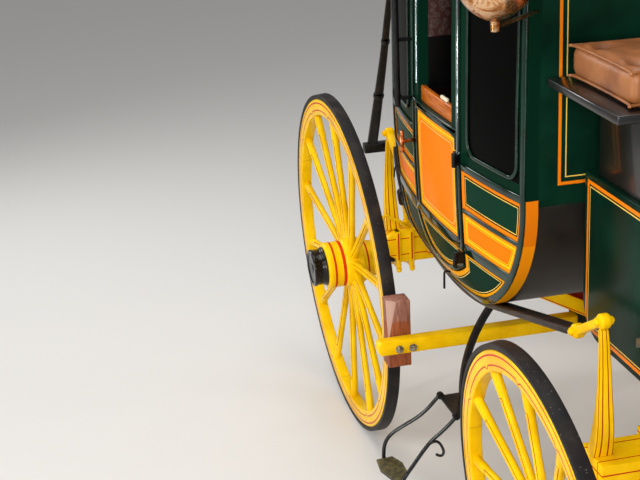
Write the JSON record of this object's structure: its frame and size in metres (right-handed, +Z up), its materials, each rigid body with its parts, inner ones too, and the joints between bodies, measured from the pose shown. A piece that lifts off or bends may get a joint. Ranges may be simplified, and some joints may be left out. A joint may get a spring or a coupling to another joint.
{
  "type": "stagecoach",
  "caption": "Horse-drawn stagecoach: closed boat-bottomed body hung on leather braces between upright springs, on spoked wheels, with a steering fore carriage.",
  "frame": {"origin": "on the ground, midway between the two axles, on the centre line", "axes": "+X forward, +Y to the coach's left, +Z up"},
  "size_m": [3.5, 1.8356, 2.381],
  "materials": {
    "black_iron": "black japanned wrought iron",
    "black_leather": "stitched harness leather",
    "black_panel": "varnished black coach paint",
    "copper": "polished copper",
    "cream_bone": "polished bone",
    "green_panel": "varnished dark green coach paint",
    "iron_tyre": "scuffed black iron",
    "plain_wood": "worn bare wood",
    "red_brocade": "figured woollen brocade",
    "roof_canvas": "painted black canvas on boards",
    "tan_leather": "buttoned tan leather",
    "varnished_wood": "clear varnish on mahogany",
    "yellow_iron": "yellow coach paint on spring steel",
    "yellow_wood": "varnished yellow coach paint on ash"
  },
  "bodies": {
    "coach": {"benches": "plain_wood", "body_bottom": "green_panel", "body_ends": "green_panel", "body_side_left": "green_panel", "body_side_right": "green_panel", "box_cushion": "tan_leather", "box_seat": "black_panel", "brake_guides": "black_iron", "cushions": "red_brocade", "floor": "plain_wood", "footboard": "black_panel", "front_boot": "green_panel", "front_transom": "yellow_wood", "lamps": "copper", "leather_braces": "black_leather", "mouldings": "black_panel", "perch": "yellow_wood", "rails": "black_iron", "rear_axle": "black_iron", "rear_axle_bed": "yellow_wood", "rear_rack": "black_iron", "rear_stays": "black_leather", "roof": "roof_canvas", "shackles": "yellow_iron", "spring_irons": "black_iron", "springs": "yellow_iron", "step_brackets": "black_iron", "upper_wheel_plate": "black_iron"},
    "wheel_rear_right": {"wheel_rear_right": "yellow_wood", "tyre_rear_right": "iron_tyre", "hub_cap_rear_right": "black_iron"},
    "wheel_rear_left": {"wheel_rear_left": "yellow_wood", "tyre_rear_left": "iron_tyre", "hub_cap_rear_left": "black_iron"},
    "wheel_front_right": {"wheel_front_right": "yellow_wood", "tyre_front_right": "iron_tyre", "hub_cap_front_right": "black_iron"},
    "wheel_front_left": {"wheel_front_left": "yellow_wood", "tyre_front_left": "iron_tyre", "hub_cap_front_left": "black_iron"},
    "fore_carriage": {"front_axle_bed": "yellow_wood", "front_axle": "black_iron", "lower_wheel_plate": "black_iron", "futchells": "yellow_wood", "splinter_bar": "yellow_wood"},
    "door_right": {"door_right": "green_panel", "door_mouldings_right": "black_panel", "door_sash_right": "varnished_wood", "door_handle_right": "copper", "door_hinges_right": "black_iron"},
    "step_right": {"folding_step_right": "black_iron"},
    "door_left": {"door_left": "green_panel", "door_mouldings_left": "black_panel", "door_sash_left": "varnished_wood", "door_handle_left": "copper", "door_hinges_left": "black_iron"},
    "step_left": {"folding_step_left": "black_iron"},
    "brake": {"brake_beam": "yellow_wood", "brake_blocks": "plain_wood"}
  },
  "joints": [
    {"name": "steer", "type": "hinge", "parent": "coach", "child": "fore_carriage", "pos_m": [1.015, 0, 0.69], "axis": [0, 0, 1], "range_deg": [-14, 14]},
    {"name": "roll_rear_right", "type": "hinge", "parent": "coach", "child": "wheel_rear_right", "pos_m": [-1.015, -0.77317, 0.70033], "axis": [0, 0.999, 0.0445], "continuous": true},
    {"name": "roll_rear_left", "type": "hinge", "parent": "coach", "child": "wheel_rear_left", "pos_m": [-1.015, 0.77317, 0.70033], "axis": [0, 0.999, -0.0445], "continuous": true},
    {"name": "roll_front_right", "type": "hinge", "parent": "fore_carriage", "child": "wheel_front_right", "pos_m": [1.015, -0.75032, 0.57713], "axis": [0, 0.9973, 0.0732], "continuous": true},
    {"name": "roll_front_left", "type": "hinge", "parent": "fore_carriage", "child": "wheel_front_left", "pos_m": [1.015, 0.75032, 0.57713], "axis": [0, 0.9973, -0.0732], "continuous": true},
    {"name": "open_door_right", "type": "hinge", "parent": "coach", "child": "door_right", "pos_m": [0.105, -0.673, 1.5], "axis": [0, 0, 1], "range_deg": [0, 90]},
    {"name": "fold_step_right", "type": "hinge", "parent": "coach", "child": "step_right", "pos_m": [-0.045, -0.655, 0.485], "axis": [-1, 0, 0], "range_deg": [0, 105]},
    {"name": "open_door_left", "type": "hinge", "parent": "coach", "child": "door_left", "pos_m": [0.105, 0.673, 1.5], "axis": [0, 0, -1], "range_deg": [0, 90]},
    {"name": "fold_step_left", "type": "hinge", "parent": "coach", "child": "step_left", "pos_m": [-0.045, 0.655, 0.485], "axis": [1, 0, 0], "range_deg": [0, 105]},
    {"name": "brake_slide", "type": "slide", "parent": "coach", "child": "brake", "axis": [-1, 0, 0], "range_m": [0, 0.011]}
  ]
}
